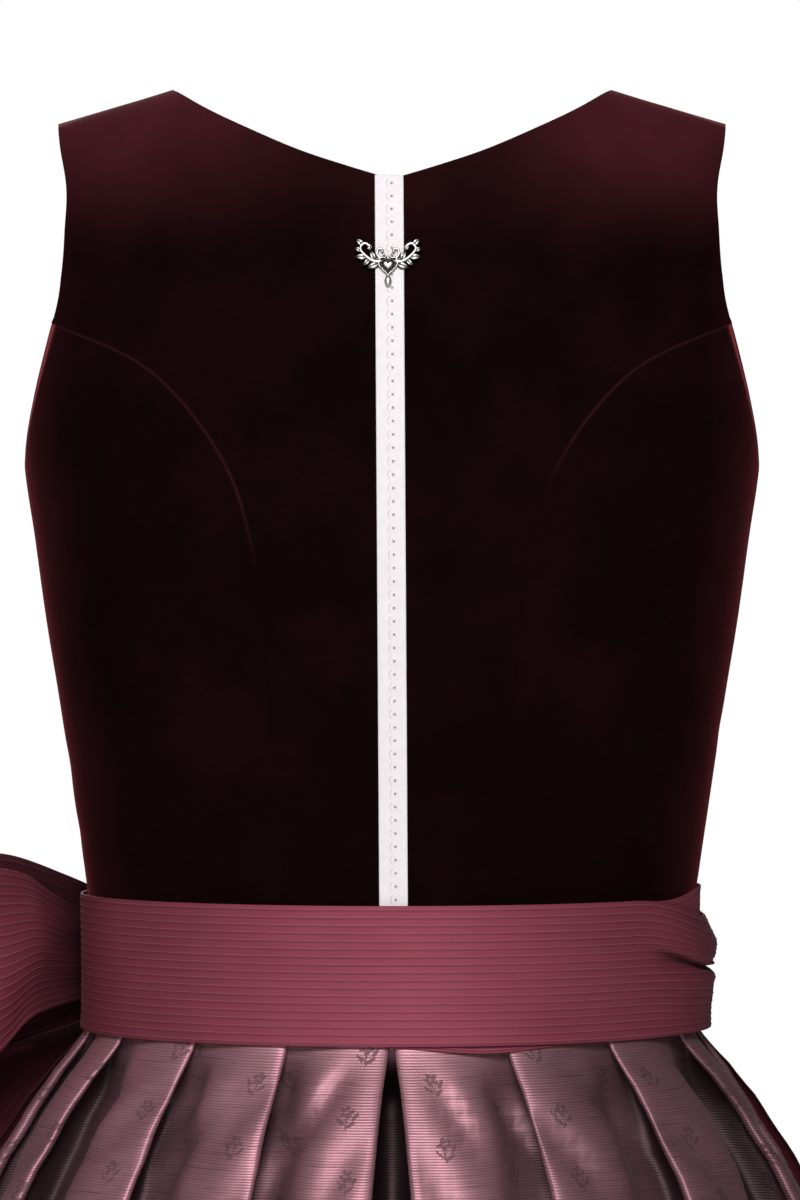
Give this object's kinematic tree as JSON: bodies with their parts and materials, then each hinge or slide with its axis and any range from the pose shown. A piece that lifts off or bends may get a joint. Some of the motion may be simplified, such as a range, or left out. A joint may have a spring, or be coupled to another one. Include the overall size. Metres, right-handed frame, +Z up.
{
  "type": "dirndl dress",
  "caption": "Sleeveless velvet dirndl dress with a pleated knee-length skirt, an apron and a wide ribbed sash tied in a bow, worn and hollow.",
  "frame": {"origin": "midway between the two shoulder seams at the height of their neck ends, where the wearer's shoulders hold the dress", "axes": "+Z up, +Y out of the wearer's front, -Y out of the back, which is the side pictured, +X to the wearer's right"},
  "size_m": [0.8054, 0.7101, 1.09],
  "materials": {
    "velvet": "dark burgundy velvet, near black face on, lighter at grazing angles",
    "jacquard": "mauve jacquard with fine ribs and small darker sprigs, silky",
    "sash_satin": "burgundy rose satin with fine raised lengthwise ribs",
    "apron_satin": "plain burgundy satin",
    "lace": "white woven lace tape",
    "silver": "antique silver, dark in its hollows"
  },
  "bodies": {
    "root": {"back_right": "velvet", "back_left": "velvet", "side_back_right": "velvet", "side_back_left": "velvet", "front_right": "velvet", "front_left": "velvet", "side_front_right": "velvet", "side_front_left": "velvet", "skirt_back": "jacquard", "skirt_front": "jacquard", "apron": "apron_satin", "sash_back": "sash_satin", "sash_front": "sash_satin", "sash_under": "sash_satin", "bow_knot": "sash_satin", "bow_loop_outer": "sash_satin", "bow_loop_inner": "sash_satin", "bow_tail_outer": "sash_satin", "bow_tail_inner": "sash_satin", "back_lace": "lace", "charm": "silver"}
  },
  "joints": []
}
